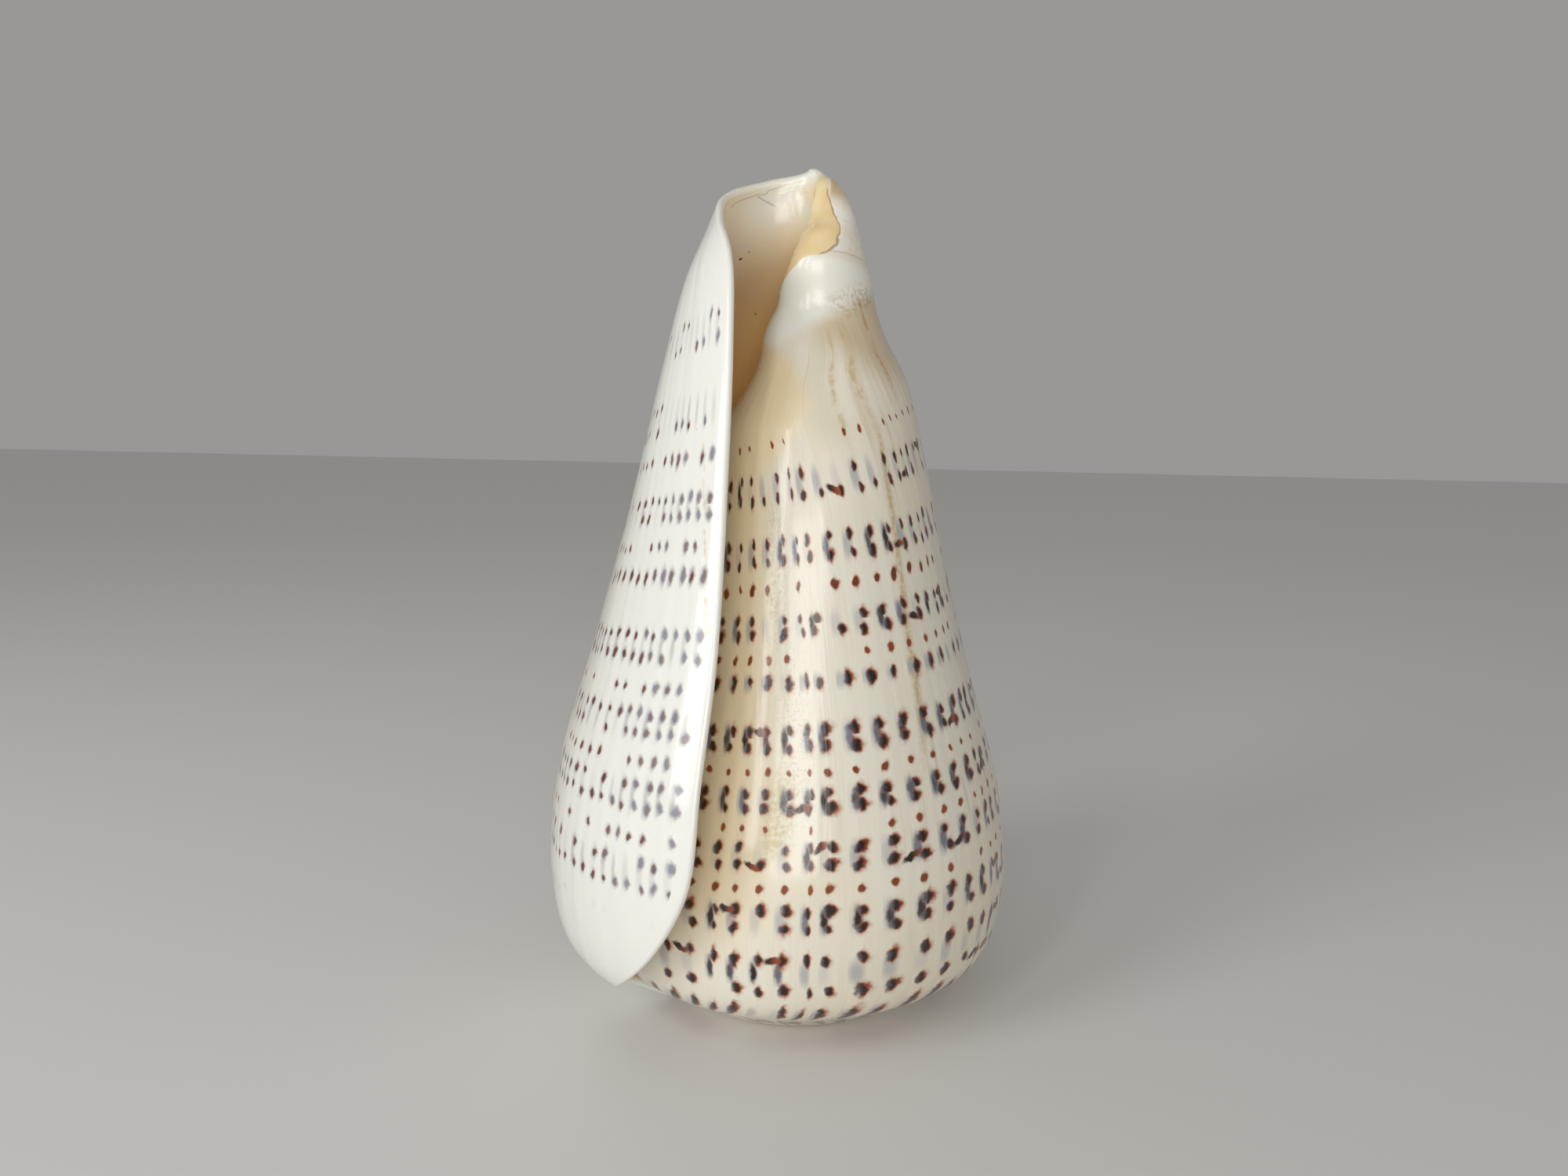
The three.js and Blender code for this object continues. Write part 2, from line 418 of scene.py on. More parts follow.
# The porcelain's pattern is laid out in turns back from the lip and in levels up the whorl.
# rows of spots: level, half height in levels, half width in columns, how dark, and the share of
# columns that have the spot
spotRows = [
    (0.030, 0.0170, 0.24, 0.95, 0.90),
    (0.078, 0.0190, 0.22, 0.95, 0.92),
    (0.122, 0.0115, 0.21, 0.90, 0.88),
    (0.170, 0.0130, 0.20, 0.95, 0.88),
    (0.213, 0.0090, 0.18, 0.85, 0.90),
    (0.238, 0.0100, 0.20, 0.95, 0.95),
    (0.266, 0.0065, 0.13, 0.30, 0.85),
    (0.297, 0.0092, 0.20, 0.90, 0.95),
    (0.320, 0.0092, 0.20, 0.90, 0.95),
    (0.344, 0.0060, 0.12, 0.25, 0.85),
    (0.372, 0.0092, 0.20, 0.92, 0.97),
    (0.391, 0.0092, 0.19, 0.92, 0.97),
    (0.418, 0.0060, 0.13, 0.30, 0.85),
    (0.450, 0.0098, 0.20, 1.00, 1.00),
    (0.472, 0.0098, 0.20, 1.00, 1.00),
    (0.535, 0.0120, 0.19, 0.95, 0.95),
    (0.567, 0.0065, 0.13, 0.25, 0.70),
    (0.598, 0.0092, 0.19, 0.90, 0.92),
    (0.617, 0.0088, 0.18, 0.88, 0.92),
    (0.660, 0.0080, 0.15, 0.45, 0.80),
    (0.697, 0.0098, 0.17, 0.85, 0.88),
    (0.722, 0.0092, 0.16, 0.85, 0.85),
    (0.783, 0.0098, 0.15, 0.75, 0.82),
    (0.812, 0.0098, 0.15, 0.75, 0.82),
    (0.858, 0.0060, 0.11, 0.25, 0.60),
]
# soft bars that join two rows: middle level, half height, the share of columns that have one
pairBars = [
    (0.150, 0.020, 0.25), (0.2255, 0.021, 0.55), (0.3085, 0.021, 0.50), (0.3815, 0.019, 0.80),
    (0.461, 0.021, 0.95), (0.6075, 0.018, 0.45), (0.7095, 0.021, 0.30), (0.7975, 0.022, 0.10),
]
# how much the columns of spots crowd: turns back from the lip, and columns
columnShift = [
    (0, 3.3), (0.01, 3.24), (0.029, 2.75), (0.045, 2.4), (0.062, 1.85), (0.086, 1.45), (0.105, 1.33),
    (0.122, 0.95), (0.146, 0.2), (0.25, 0.3), (0.6, 1.5), (0.735, 2.75), (0.765, 2.3), (0.785, 2.0),
    (0.82, 1.87), (0.87, 2.01), (0.905, 2.12), (0.918, 2.13), (0.931, 1.7), (0.965, 1.24),
    (0.99, 0.82), (1.015, 0.44), (1.2, 0),
]

spots = {
    "columnsPerTurn": 42,
    "crowding": (13, 3),           # extra columns towards the lip, and how fast they thin out
    "columnStray": 0.25,           # in columns
    "rowStray": 0.008,             # in levels
    "bareNearRim": 0.006,          # turns
    "strongFrom": 0.6,             # only darker rows have haze, bars and strokes
    "pairReach": 0.008,            # how far outside a bar's half height its two rows may lie
    "loneHeight": 0.012,
    "hazeSize": (0.34, 1.3),       # half width in columns, height against the bar's
    "haze": 0.8,
    "hazeLostOnLip": 0.72,
    "barSize": (0.17, 0.95),
    "barLostOnLip": 0.8,
    "place": 0.43,                 # where a spot stands across its column
    "placeStray": 0.2,
    "size": (0.74, 0.35),          # the smallest, and how much larger the largest is
    "smallerOnLip": 0.12,
    "smallerOnRight": 0.17,
    "rightTurns": (0.8, 0.68),
    "dotsLargerOnLip": 0.45,
    "ragged": 1.1,
    "maroonOnLip": 0.75,
    "strokeShare": 0.09,
    "strokeHeight": 0.0062,        # in levels
    "rustGlow": 0.3,
}

# where each mark lies: soft steps that let it in and out, in turns back and in levels
zones = {
    "nearLip": {"back": [(0.2, 0.08)]},
    "hazy": {"back": [(0.08, 0.03)]},
    "belowSpots": {"level": [(0.215, 0.17)]},
    "aboveSpots": {"level": [(0.82, 0.85)]},
    "beforeCanal": {"level": [(0.89, 0.88)]},
    "thinned": {"level": [(0.6, 0.72)]},
    "aged": {"back": [(0.98, 0.82)], "level": [(0.965, 0.94)]},
    "upper": {"level": [(0.82, 0.88), (0.965, 0.95)]},
    "glazed": {"back": [(0.4, 0.44), (0.86, 0.8)], "level": [(0.958, 0.97)]},
    "tanPatch": {"back": [(0.45, 0.53), (0.78, 0.66)], "level": [(0.86, 0.92), (0.972, 0.96)]},
    "orangeStreak": {"level": [(0.86, 0.9), (0.972, 0.962)]},
    "pitted": {"back": [(0.47, 0.5), (0.64, 0.58)], "level": [(0.955, 0.962), (0.978, 0.97)]},
    "slantedLine": {"level": [(0.36, 0.5), (0.88, 0.82)]},
    "oliveLow": {"level": [(0.29, 0.33), (0.44, 0.38)]},
    "oliveHigh": {"level": [(0.58, 0.66), (0.82, 0.74)]},
    "besideSlit": {"level": [(0.1, 0.3)]},
    "lipLine": {"level": [(0.44, 0.5), (0.72, 0.66)]},
    "rolledEdge": {"back": [(0.72, 0.6)]},
    "topOchre": {"back": [(0.2, 0.14), (0.02, 0.08)]},
    "milky": {"back": [(0.17, 0.22), (0.4, 0.385)], "level": [(0.974, 0.983)]},
    "milkyFoot": {"level": [(0.9836, 0.9826)]},
    "crack": {"back": [(0.12, 0.15), (0.422, 0.412)]},
    "faintCrack": {"level": [(0.98, 0.982)]},
    "rimChip": {"level": [(0.955, 0.957), (0.981, 0.979)]},
    "rimBranch": {"back": [(0.013, 0.016), (0.068, 0.05)]},
    "worn": {"level": [(0.86, 0.74), (0.28, 0.36)]},
}

# thin lines down the whorl: turns back at level 0, lean per level, how far it strays, half width
downLines = {
    "slanted": (0.871, -0.086, 0.012, 0.0045),
    "besideSlit": (0.956, 0, 0.02, 0.011),
    "lip": (-0.0334, 0.08, 0.004, 0.0013),
    "worn": (0.95, 0, 0.03, 0.016),
}
# old stains along growth lines near the canal: turns back, half width, colour, how strong all
# along, and how much stronger in broken bits
oldStreaks = [
    (0.87, 0.03, "olive", 0.3, 0),
    (0.805, 0.011, "tan", 0.3, 0.5),
    (0.845, 0.006, "tan", 0, 0.6),
]
orangeStreak = (0.728, 0.006)

# noises drawn out along the growth lines: changes per turn, changes per level, detail
growthNoises = {
    "wander": (7, 5, 1),
    "fine": (330, 9, 2),
    "patches": (11, 4, 2),
    "streaks": (120, 5, 2.5),
    "broken": (60, 45, 2),
    "striae": (260, 7, 2),
    "fineStriae": (900, 22, 2),
}
# noises that are alike in all directions: changes per metre, detail
spaceNoises = {
    "clouds": (28, 3),
    "tipClouds": (160, 2),
    "grain": (900, 1.5),
    "speckle": (1500, 2),
    "pits": (2600, 2),
}

# the rolled edge at the canal; its glaze ends at these points: turns back, and hundredths of a
# level over the nose of the wall
glazeEdge = [
    (0, 2.3), (0.047, 2.19), (0.115, 2.12), (0.153, 2.11), (0.188, 1.96), (0.24, 1.75), (0.27, 1.5),
    (0.325, 0.94), (0.366, 0.80), (0.392, 0.78), (0.4155, 0.83), (0.449, 0.98), (0.4986, 0.95),
    (0.5567, 0.9), (0.6, 0.95), (0.7, 1.4),
]
tip = {
    "noseFrom": 0.98,              # level where the nose of the wall begins
    "faintCrackAt": 0.394,         # turns back
    "crackWidth": (0.04, 0.01),
    "bandEnd": (3.9, 3.2),
}
# a chipped line inside the rim: hundredths of a level above 0.95, and turns back
rimChip = [
    (0.6, 0.026), (0.7, 0.023), (1.2, 0.0161), (1.6, 0.0147), (2.07, 0.012), (2.27, 0.0102),
    (2.48, 0.0144), (2.72, 0.004), (3.06, 0.002),
]
rimBranch = (0.9718, 0.03)         # level at the rim, and how it rises per turn
# dark specks on the lining: turns back, level, size
specks = [(0.1477, 0.935, 0.15), (0.143, 0.9428, 0.07), (0.2801, 0.9049, 0.09)]

finish = {
    "enamel": (0.80, 0.77, 0.67),
    "cream": (0.74, 0.64, 0.46),
    "lipWhite": (0.87, 0.87, 0.82),
    "rimWhite": (0.78, 0.76, 0.68),
    "core": (0.020, 0.008, 0.005),
    "rust": (0.36, 0.075, 0.015),
    "haze": (0.27, 0.30, 0.36),
    "maroon": (0.145, 0.045, 0.032),
    "olive": (0.47, 0.42, 0.22),
    "tan": (0.55, 0.40, 0.19),
    "liningNear": (0.84, 0.70, 0.46),
    # the deep lining colour: partly ochre cream, partly painted warm glow of light bouncing inside the
    # whorl
    "liningDeepAndGlow": (0.95, 0.68, 0.28),
    # the warm tan beside the slit: partly cream, partly painted shade and painted warm bounce light
    "slitCreamAndShade": (0.88, 0.69, 0.40),
    "columella": (0.80, 0.60, 0.30),
    "columellaPale": (0.84, 0.70, 0.44),
    "ochreCream": (0.66, 0.50, 0.28),
    "ochre": (0.50, 0.25, 0.06),
    "stain": (0.40, 0.27, 0.11),
    "crack": (0.34, 0.19, 0.10),
    "roughness": 0.17,
    "coat": 0.3,
    "coatRoughness": 0.06,
    "glowThrough": (0.3, 0.6),     # subsurface weight outside, and how much more on the lining
    "glowRadius": (1, 0.62, 0.34),
    "glowScale": 0.004,            # metres
    "striaeDepth": 0.03,           # these four in millimetres
    "fineStriaeDepth": 0.008,
    "pitDepth": (0.002, 0.035),    # everywhere, and how much deeper in the worn band
    "crackDepth": 0.06,
}


class Wire:
    # one value in the shader, which takes part in plain arithmetic
    def __init__(self, socket):
        self.socket = socket

    def __add__(self, other):
        return calc("ADD", self, other)

    def __sub__(self, other):
        return calc("SUBTRACT", self, other)

    def __rsub__(self, other):
        return calc("SUBTRACT", other, self)

    def __mul__(self, other):
        return calc("MULTIPLY", self, other)

    def __truediv__(self, other):
        return calc("DIVIDE", self, other)

    def __gt__(self, other):
        return calc("GREATER_THAN", self, other)

    def __lt__(self, other):
        return calc("LESS_THAN", self, other)

    __radd__ = __add__
    __rmul__ = __mul__


porcelain = bpy.data.materials.new("spotted porcelain")
porcelain.use_nodes = True
tree = porcelain.node_tree
surface = tree.nodes["Principled BSDF"]


def addNode(kind, **settings):
    node = tree.nodes.new("ShaderNode" + kind)
    for name, value in settings.items():
        setattr(node, name, value)
    return node


def feed(socket, value):
    if isinstance(value, Wire):
        tree.links.new(value.socket, socket)
    elif value is not None:
        socket.default_value = value


def calc(operation, first, second=None):
    node = addNode("Math", operation=operation)
    feed(node.inputs[0], first)
    feed(node.inputs[1], second)
    return Wire(node.outputs[0])


def bigger(first, second):
    return calc("MAXIMUM", first, second)


def smaller(first, second):
    return calc("MINIMUM", first, second)


def soft(value, start, end):
    # 0 before start, 1 after end, and a soft slope between them; start may be the larger one
    node = addNode("MapRange", interpolation_type="SMOOTHSTEP")
    feed(node.inputs["Value"], value)
    feed(node.inputs["From Min"], start)
    feed(node.inputs["From Max"], end)
    return Wire(node.outputs["Result"])


def bell(offset, width):
    # 1 on a line and less and less beside it
    away = offset / width
    return calc("EXPONENT", away * away * -1)


def length(across, up):
    return calc("SQRT", across * across + up * up)


def joined(x, y, z=0.0):
    node = addNode("CombineXYZ")
    for socket, value in zip(node.inputs, (x, y, z)):
        feed(socket, value)
    return Wire(node.outputs[0])


def parts(vector):
    node = addNode("SeparateXYZ")
    feed(node.inputs[0], vector)
    return [Wire(socket) for socket in node.outputs]


def cloudy(vector, scale, detail):
    # a noise as one number and as a colour of three
    node = addNode("TexNoise")
    feed(node.inputs["Vector"], vector)
    feed(node.inputs["Scale"], scale)
    feed(node.inputs["Detail"], detail)
    return Wire(node.outputs["Fac"]), Wire(node.outputs["Color"])


def growthNoise(name):
    perTurn, perLevel, detail = growthNoises[name]
    return cloudy(joined(grown * perTurn, level * perLevel), 1, detail)


def spaceNoise(name):
    return cloudy(place3d, *spaceNoises[name])


def centred(noiseColour):
    return [part - 0.5 for part in parts(noiseColour)]


def dice(cell, row, roll):
    # four steady random numbers for one spot
    node = addNode("TexWhiteNoise", noise_dimensions="3D")
    feed(node.inputs["Vector"], joined(cell, row * 1000, roll))
    return [Wire(node.outputs["Value"])] + parts(Wire(node.outputs["Color"]))


def tint(under, over, share):
    # lays a colour over another; each is a wire or a name from finish
    node = addNode("Mix", data_type="RGBA")
    feed(node.inputs[0], share)
    for socket, colour in ((node.inputs[6], under), (node.inputs[7], over)):
        feed(socket, colour if isinstance(colour, Wire) else (*finish[colour], 1))
    return Wire(node.outputs[2])


def steppedRamp(share, stops):
    # four numbers that change in steps: stops hold a start and the four numbers
    node = addNode("ValToRGB")
    ramp = node.color_ramp
    ramp.interpolation = "CONSTANT"
    while len(ramp.elements) < len(stops):
        ramp.elements.new(0.5)
    for element, (start, numbers) in zip(ramp.elements, stops):
        element.position = start
        element.color = numbers
    feed(node.inputs[0], share)
    first = addNode("SeparateColor")
    feed(first.inputs[0], Wire(node.outputs["Color"]))
    return [Wire(socket) for socket in first.outputs] + [Wire(node.outputs["Alpha"])]


def readTable(place, rows, middle=0.5):
    # rows hold the level that they belong to and four numbers; the lower half of the shell is
    # looked up in one ramp, the upper half in another
    halves = []
    for low, high in ((0, middle), (middle, 1)):
        own = [row for row in rows if low <= row[0] < high]
        stops = []
        for index, row in enumerate(own):
            start = (row[0] + own[index - 1][0]) / 2 if index else low
            stops.append(((start - low) / (high - low), row[1:]))
        halves.append(steppedRamp((place - low) / (high - low), stops))
    upper = place > middle
    return [a + (b - a) * upper for a, b in zip(*halves)]


def curved(value, points, width, height):
    # a smooth curve through a few points; width and height are what the curve box stands for
    node = addNode("FloatCurve")
    curve = node.mapping.curves[0]
    while len(curve.points) < len(points):
        curve.points.new(0.5, 0.5)
    for point, (x, y) in zip(curve.points, points):
        point.location = (x / width, y / height)
        point.handle_type = "AUTO_CLAMPED"
    node.mapping.extend = "HORIZONTAL"
    node.mapping.update()
    feed(node.inputs["Value"], value / width)
    return Wire(node.outputs[0]) * height


back, levelBothSides, _ = parts(Wire(addNode("UVMap", uv_map="growth").outputs[0]))
place3d = Wire(addNode("TexCoord").outputs["Object"])
inside = levelBothSides > 1
level = smaller(levelBothSides, 2 - levelBothSides)
lowLean = bigger(growthLines["leanBelow"] - level, 0)
highLean = bigger(level - growthLines["leanAbove"], 0)
grown = back + lowLean * lowLean * growthLines["lowLean"] + highLean * highLean * growthLines["highLean"]


def zone(name):
    # 1 inside a zone and 0 outside it, with soft ends
    share = 1
    for axis, value in (("back", back), ("level", level)):
        for start, end in zones[name].get(axis, []):
            share = share * soft(value, start, end)
    return share


def downLine(name, stray):
    place, lean, strayWidth, width = downLines[name]
    return bell(back - place - level * lean + stray * strayWidth, width)


nearLip = zone("nearLip")
grain = centred(spaceNoise("grain")[1])
wander = centred(growthNoise("wander")[1])


def barOf(rowLevel):
    # the bar that a row belongs to, or one of its own that never shows
    for middle, halfHeight, share in pairBars:
        if abs(middle - rowLevel) < halfHeight + spots["pairReach"]:
            return middle, halfHeight, share
    return rowLevel, spots["loneHeight"], 0.0


def columnPlace():
    crowd, thinning = spots["crowding"]
    crowded = (1 - calc("EXPONENT", grown * -thinning)) * -crowd
    shift = curved(grown, columnShift, 1.2, 4)
    return crowded - grown * spots["columnsPerTurn"] + shift + wander[0] * spots["columnStray"]


def paintSpots(base):
    spotLevel = level + wander[1] * spots["rowStray"]
    shapes = [(at, at, tall, wide, dark) for at, tall, wide, dark, share in spotRows]
    shares = [(at, share, *barOf(at)) for at, tall, wide, dark, share in spotRows]
    rowLevel, halfHeight, halfWidth, dark = readTable(spotLevel, shapes)
    present, barLevel, barHeight, barShare = readTable(spotLevel, shares)
    column = columnPlace()
    cell = calc("FLOOR", column)
    across = column - cell                                # 0 at a column's left edge, 1 at its right
    # the white zone at the lip keeps only the middle rows
    bare = nearLip * bigger(zone("belowSpots"), zone("aboveSpots"))
    spotted = (1 - inside) * (1 - bare) * zone("beforeCanal") * (back > spots["bareNearRim"])
    strong = dark > spots["strongFrom"]
    hazy = zone("hazy")

    # bluish shade at each spot's left, like a spot seen through a thin coat
    roll, rollX, rollY, rollZ = dice(cell, barLevel, 9.1)
    hazeWidth, hazeHeight = spots["hazeSize"]
    shadeReach = length((across - 0.2 - (rollX - 0.5) * 0.12) / hazeWidth,
                        (spotLevel - barLevel) / (barHeight * hazeHeight))
    shade = (1 - soft(shadeReach, 0.2, 1.1)) * spotted * (rollY * 0.6 + 0.25 + hazy * 0.3) * strong
    shade = shade * (1 - nearLip * spots["hazeLostOnLip"])
    colour = tint(base, "haze", shade * spots["haze"])

    # the bar that joins the two spots of a pair
    barWidth, barTall = spots["barSize"]
    barReach = length((across - 0.26 - (rollX - 0.5) * 0.12 + grain[0] * 0.2) / barWidth,
                      (spotLevel - barLevel) / (barHeight * barTall))
    barShown = spotted * (roll < barShare) * (1 - nearLip * spots["barLostOnLip"])
    barColour = tint("core", "haze", soft(rollZ, 0.2, 1) * 0.75 + hazy * 0.2)
    colour = tint(colour, barColour, (1 - soft(barReach, 0.4, 1.2)) * barShown)

    # the spot itself: a dark core that points to the right, with a rust-coloured rim
    roll, rollX, rollY, rollZ = dice(cell, rowLevel, 3.7)
    smallest, larger = spots["size"]
    size = (rollZ * larger + smallest) * (1 - nearLip * spots["smallerOnLip"])
    size = size * (1 - soft(back, *spots["rightTurns"]) * spots["smallerOnRight"])
    size = size * (1 + nearLip * (1 - strong) * spots["dotsLargerOnLip"])
    x = across - spots["place"] - (rollX - 0.5) * spots["placeStray"]
    x = x / (halfWidth * size * (1.2 + nearLip * 0.25)) + grain[0] * spots["ragged"]
    y = (spotLevel - rowLevel - (rollY - 0.5) * halfHeight * 0.5) / (halfHeight * size)
    y = (y + grain[1] * spots["ragged"]) * (nearLip * 0.35 + 1) - x * (rollZ - rollX) * 0.45
    reach = length(x, y) + bigger(x, 0) * calc("ABSOLUTE", y) * 0.3
    shown = spotted * (roll < present - nearLip * (zone("thinned") * 0.26 + 0.12))
    ink = (1 - soft(reach, 0.7, 1.25)) * shown
    rim = soft(reach + x * 0.25, 0.45, 1.0)
    rust = bigger(rim, 1 - dark * 1.35 + soft(roll, 0.3, 0.9) * 0.25)
    veil = soft(x, 0.0, -1.2) * 0.6 + hazy * 0.4 * soft(rollY, 0.1, 0.8)
    inkColour = tint("core", "rust", rust)
    inkColour = tint(inkColour, "haze", smaller(veil, 0.85) * strong)
    # on the lip the spots are maroon, and hazy towards the rim
    inkColour = tint(inkColour, "maroon", nearLip * spots["maroonOnLip"])
    inkColour = tint(inkColour, "haze", nearLip * hazy * soft(rollY, 0.1, 0.8) * 0.75)
    halo = (1 - soft(reach, 0.6, 2.4)) * shown * nearLip * (rollX * 0.4 + 0.25 + hazy * 0.35)
    colour = tint(colour, "haze", halo)
    colour = tint(colour, inkColour, ink * (1 - nearLip * hazy * rollX * 0.6))
    glow = (1 - soft(reach, 0.9, 1.8)) * shown * soft(x, -0.8, 0.4)
    colour = tint(colour, "rust", glow * (1 - ink) * spots["rustGlow"])

    # slanting strokes that join a spot to the next one
    halfStep = column + 0.5
    cell = calc("FLOOR", halfStep)
    roll, rollX, rollY, rollZ = dice(cell, rowLevel, 5.3)
    x = (halfStep - cell - 0.5) / (rollX * 0.12 + 0.36)
    y = (spotLevel - rowLevel) / spots["strokeHeight"] - (rollY - 0.5) * x * 2.2 + grain[1] * 1.8
    strokeShown = spotted * (roll < spots["strokeShare"] - nearLip) * strong
    strokeColour = tint("core", "rust", soft(x + rollZ, 0.2, 1.3) * 0.85)
    return tint(colour, strokeColour, (1 - soft(length(x, y), 0.6, 1.2)) * strokeShown)


def paintGround():
    # enamel with cream clouds, olive and tan growth streaks
    clouds = spaceNoise("clouds")[0]
    colour = tint("enamel", "cream", soft(clouds, 0.42, 0.75) * 0.5)
    colour = tint(colour, "cream", soft(growthNoise("fine")[0], 0.5, 0.75) * 0.3)
    patches = growthNoise("patches")[0]
    streaks = growthNoise("streaks")[0]
    aged = zone("aged")                                   # cleaner near the slit and the canal
    colour = tint(colour, "olive", soft(streaks, 0.56, 0.7) * soft(patches, 0.5, 0.66) * aged * 0.4)
    colour = tint(colour, "tan", soft(streaks, 0.42, 0.3) * soft(patches, 0.5, 0.36) * aged * 0.28)

    # old stains near the canal: a tan patch, streaks along the growth lines and a pitted spot
    colour = tint(colour, "lipWhite", zone("glazed") * 0.75)
    colour = tint(colour, "tan", zone("tanPatch") * soft(clouds, 0.2, 0.6) * 0.6)
    speckle = spaceNoise("speckle")[0]
    gritty = soft(speckle, 0.35, 0.6)
    broken = soft(growthNoise("broken")[0], 0.42, 0.58) * (gritty * 0.7 + 0.3)
    upper = zone("upper")
    for place, width, name, plain, extra in oldStreaks:
        colour = tint(colour, name, bell(grown - place, width) * upper * (broken * extra + plain))
    place, width = orangeStreak
    colour = tint(colour, "ochre", bell(grown - place, width) * zone("orangeStreak") * broken * 0.8)
    colour = tint(colour, "stain", zone("pitted") * soft(speckle, 0.4, 0.65) * 0.45)

    # fine lines down the whorl, the warm tan beside the slit (partly cream, partly painted shade of the
    # lip and painted warm bounce light from the lining), and the white lip
    slanted = downLine("slanted", wander[0]) * zone("slantedLine")
    colour = tint(colour, "tan", slanted * (gritty * 0.5 + 0.35))
    olivePatch = zone("oliveLow") + zone("oliveHigh") * 0.5
    colour = tint(colour, "olive", downLine("besideSlit", wander[1]) * olivePatch * (gritty * 0.5 + 0.3))
    shaded = soft(back + soft(level, 0.8, 0.97) * 0.15, 0.94, 0.99) * (back < 1.2)
    # painted shade and warm bounce light beside the slit, mixed with some real cream
    colour = tint(colour, "slitCreamAndShade", shaded * zone("besideSlit") * 0.62)
    colour = tint(colour, "lipWhite", nearLip * 0.85)
    return tint(colour, "ochreCream", downLine("lip", wander[0]) * zone("lipLine") * broken * 0.7)


def paintTip(base):
    # the glaze of the rolled edge ends in a fine crack; left of it lies a cream-yellow band
    over = (levelBothSides - tip["noseFrom"]) * 100
    beyond = over - curved(back, glazeEdge, 0.7, 3) + grain[1] * 0.1
    rolled = soft(over, -0.2, 0.4) * zone("rolledEdge")
    clouds = spaceNoise("tipClouds")[0]
    bandColour = tint("columella", "columellaPale", soft(clouds, 0.35, 0.65))
    bandColour = tint(bandColour, "lipWhite", soft(back, 0.06, 0.0) * 0.8)
    bandColour = tint(bandColour, "ochre", soft(back, 0.36, 0.56) * soft(clouds, 0.3, 0.6) * 0.35)
    band = soft(beyond, -0.05, 0.06) * soft(over, *tip["bandEnd"]) * rolled * (back > -0.002)

    # right of the crack: ochre at the top, then milky scallops
    outside = 1 - inside
    topOchre = soft(beyond, -1.1, -0.2) * zone("topOchre") * rolled * outside
    colour = tint(base, "ochreCream", topOchre * soft(clouds, 0.2, 0.5))
    milky = zone("milky") * outside
    colour = tint(colour, "lipWhite", milky * (1 - zone("milkyFoot") * 0.5) * 0.7)
    scallop = soft(grain[2], -0.08, 0.1) * soft(beyond, -0.7, -0.4) * soft(beyond, -0.08, -0.2) * milky
    colour = tint(colour, "columellaPale", scallop * 0.6)
    colour = tint(colour, bandColour, band)

    crack = soft(calc("ABSOLUTE", beyond), *tip["crackWidth"]) * zone("crack")
    colour = tint(colour, "crack", crack * 0.7)
    away = calc("ABSOLUTE", back - tip["faintCrackAt"] + grain[0] * 0.008)
    faint = soft(away, 0.0028, 0.0012) * zone("faintCrack") * outside * (beyond < 0) * 0.4
    return tint(colour, "crack", faint), bigger(crack, faint)


def paintLining():
    # from the rim inwards the lining turns ochre: partly its own cream, partly painted shade and painted
    # warm glow of light bouncing inside the whorl and passing through the wall
    colour = tint("rimWhite", "liningNear", soft(back, 0.03, 0.24))
    colour = tint(colour, "liningDeepAndGlow", soft(back, 0.16, 0.4))
    # a chipped line just inside the rim with one branch, and a few dark specks
    chipPlace = curved((level - 0.95) * 100, rimChip, 4, 0.1)
    away = calc("ABSOLUTE", back - chipPlace + grain[0] * 0.002)
    chip = soft(away, 0.0016, 0.0006) * zone("rimChip")
    branchLevel, rise = rimBranch
    away = calc("ABSOLUTE", level - back * rise - branchLevel + grain[1] * 0.001)
    chip = bigger(chip, soft(away, 0.0005, 0.0002) * zone("rimBranch") * 0.8)
    colour = tint(colour, "crack", chip * 0.55)
    for speckBack, speckLevel, radius in specks:
        speck = length((back - speckBack) * 55, (level - speckLevel) * 100) / radius
        colour = tint(colour, "core", soft(speck, 1.1, 0.7) * 0.9)
    return colour


def roughen(crack):
    # growth striae, pits where the glaze is worn, and the crack, in millimetres
    striae = growthNoise("striae")[0] * finish["striaeDepth"]
    striae = striae + growthNoise("fineStriae")[0] * finish["fineStriaeDepth"]
    worn = downLine("worn", wander[1]) * zone("worn")
    plainPits, wornPits = finish["pitDepth"]
    pits = soft(spaceNoise("pits")[0], 0.56, 0.7) * (worn * wornPits + plainPits)
    bump = addNode("Bump")
    bump.inputs["Distance"].default_value = mm
    feed(bump.inputs["Height"], striae - pits - crack * finish["crackDepth"])
    return Wire(bump.outputs["Normal"])


colour, crack = paintTip(tint(paintSpots(paintGround()), paintLining(), inside))
feed(surface.inputs["Base Color"], colour)
feed(surface.inputs["Normal"], roughen(crack))
glowOutside, glowMoreInside = finish["glowThrough"]
feed(surface.inputs["Subsurface Weight"], inside * glowMoreInside + glowOutside)
surface.inputs["Subsurface Radius"].default_value = finish["glowRadius"]
surface.inputs["Subsurface Scale"].default_value = finish["glowScale"]
surface.inputs["Roughness"].default_value = finish["roughness"]
surface.inputs["Coat Weight"].default_value = finish["coat"]
surface.inputs["Coat Roughness"].default_value = finish["coatRoughness"]

shell.data.materials.clear()
shell.data.materials.append(porcelain)
print("porcelain painted:", len(tree.nodes), "nodes")

# floor, light and camera
studio = {
    "floorSize": 8.0,
    "floorColour": (0.8, 0.79, 0.77, 1),
    "floorRoughness": 0.9,
    "worldColour": (0.94, 0.92, 0.9, 1),
    "worldStrength": 0.34,
    "lightsAimAt": 0.065,          # metres above the floor
}
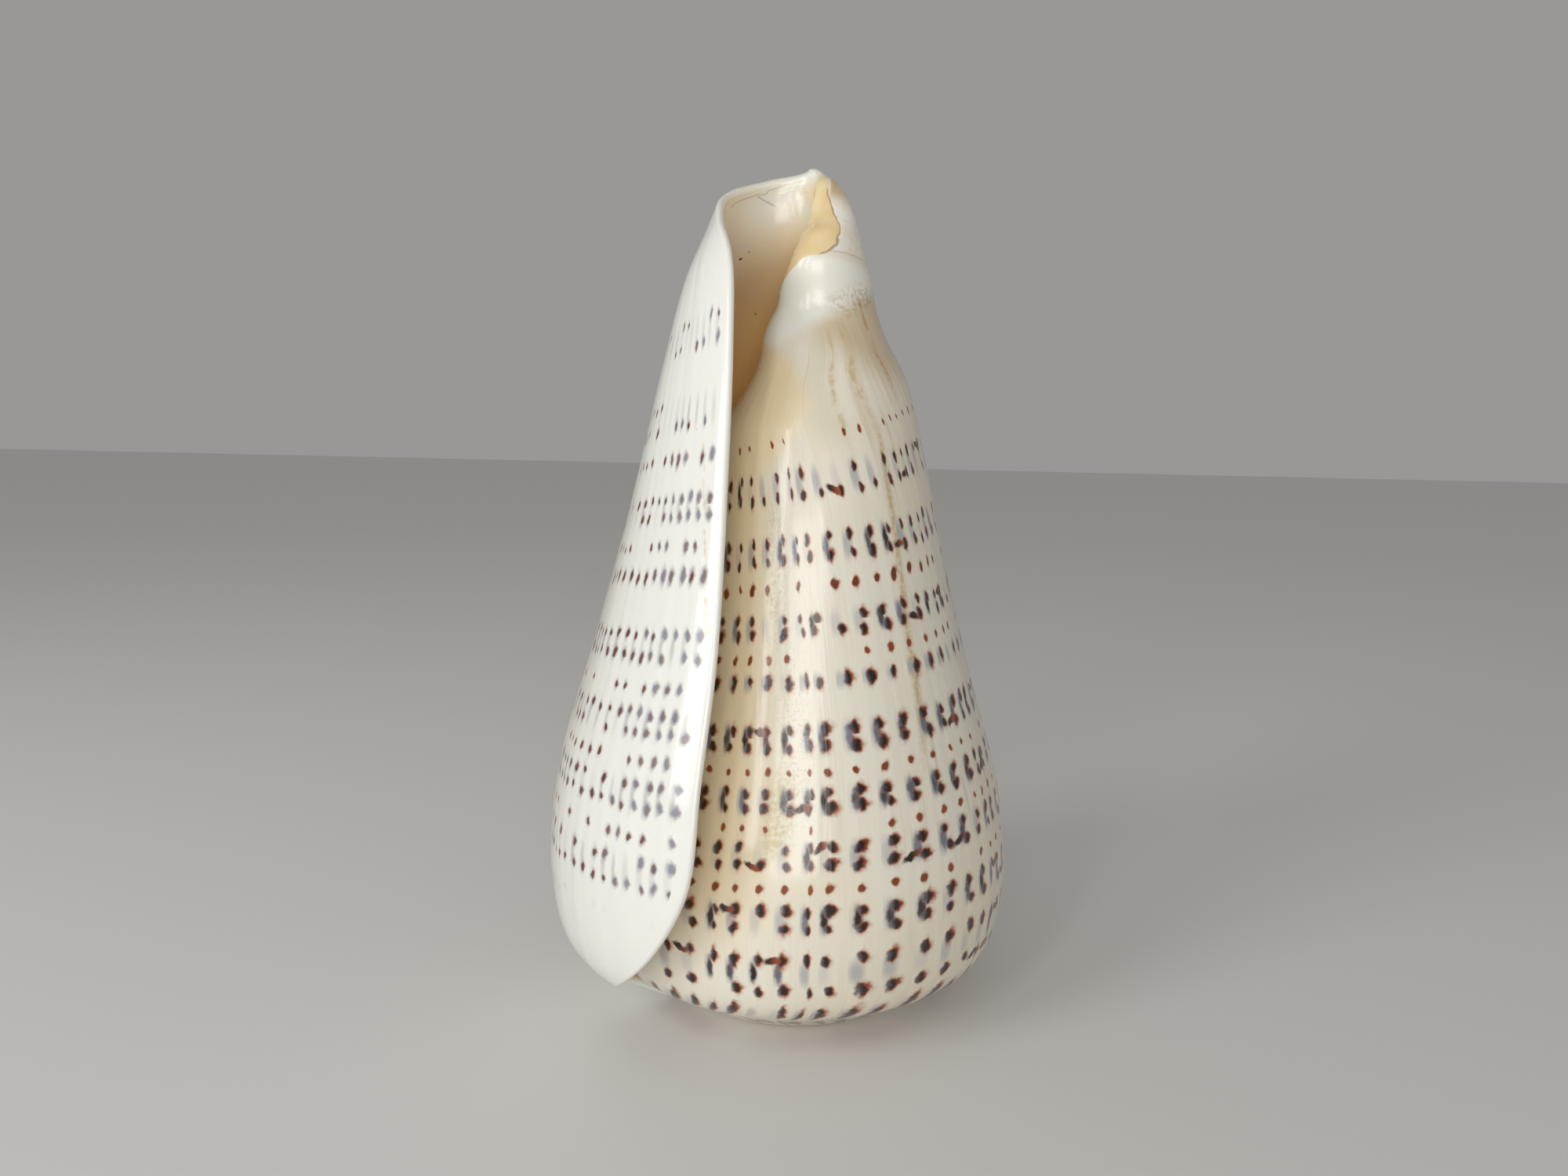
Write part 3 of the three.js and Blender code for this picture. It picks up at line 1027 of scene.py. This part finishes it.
# name, azimuth and elevation in degrees, distance, width and height in metres, watts, colour
lights = [
    ("wide window", -143, 18, 0.62, 0.2, 0.42, 1.2, (0.99, 1, 1)),
    ("narrow window", -117, 20, 0.62, 0.07, 0.4, 0.5, (1, 1, 1)),
    ("room", -92, 9, 1.0, 0.5, 0.5, 3.3, (1, 0.96, 0.9)),
]
# the photo's own viewpoint, found by fitting its perspective
view = {
    "place": (-1.349, -185.124, 87.646),   # millimetres
    "yaw": 0.0063,                         # radians
    "pitch": 0.1243,
    "roll": 0.0221,
    "lens": 27,
    "sensorWidth": 36,
    "clipStart": 0.01,
}


def makeFloor():
    bm = bmesh.new()
    bmesh.ops.create_grid(bm, x_segments=1, y_segments=1, size=studio["floorSize"] / 2)
    mesh = bpy.data.meshes.new("floor")
    bm.to_mesh(mesh)
    bm.free()
    floor = bpy.data.objects.new("floor", mesh)
    bpy.context.collection.objects.link(floor)
    paper = bpy.data.materials.new("pale paper")
    paper.use_nodes = True
    sheet = paper.node_tree.nodes["Principled BSDF"]
    sheet.inputs["Base Color"].default_value = studio["floorColour"]
    sheet.inputs["Roughness"].default_value = studio["floorRoughness"]
    mesh.materials.append(paper)


def makeLight(name, azimuth, elevation, distance, width, height, power, colour):
    lamp = bpy.data.lights.new(name, "AREA")
    lamp.shape = "RECTANGLE"
    lamp.size = width
    lamp.size_y = height
    lamp.energy = power
    lamp.color = colour
    light = bpy.data.objects.new(name, lamp)
    bpy.context.collection.objects.link(light)
    azimuth, elevation = math.radians(azimuth), math.radians(elevation)
    flat = math.cos(elevation)
    away = Vector((math.cos(azimuth) * flat, math.sin(azimuth) * flat, math.sin(elevation)))
    light.location = Vector((0, 0, studio["lightsAimAt"])) + away * distance
    light.rotation_euler = away.to_track_quat("Z", "Y").to_euler()


def makeWorld():
    world = bpy.data.worlds.new("soft room")
    bpy.context.scene.world = world
    world.use_nodes = True
    sky = world.node_tree.nodes["Background"]
    sky.inputs["Color"].default_value = studio["worldColour"]
    sky.inputs["Strength"].default_value = studio["worldStrength"]


def makeCamera():
    yaw, pitch, roll = view["yaw"], view["pitch"], view["roll"]
    ahead = Vector((math.sin(yaw) * math.cos(pitch), math.cos(yaw) * math.cos(pitch), -math.sin(pitch)))
    right = Vector((math.cos(yaw), -math.sin(yaw), 0))
    up = right.cross(ahead)
    rightRolled = right * math.cos(roll) + up * math.sin(roll)
    upRolled = up * math.cos(roll) - right * math.sin(roll)
    lens = bpy.data.cameras.new("camera")
    lens.lens = view["lens"]
    lens.sensor_width = view["sensorWidth"]
    lens.clip_start = view["clipStart"]
    camera = bpy.data.objects.new("camera", lens)
    bpy.context.collection.objects.link(camera)
    camera.matrix_world = Matrix((rightRolled, upRolled, -ahead)).transposed().to_4x4()
    camera.location = Vector(view["place"]) * mm
    bpy.context.scene.camera = camera


makeFloor()
makeWorld()
for light in lights:
    makeLight(*light)
bpy.context.scene.view_settings.view_transform = "Standard"
makeCamera()
print("floor, light and camera set")
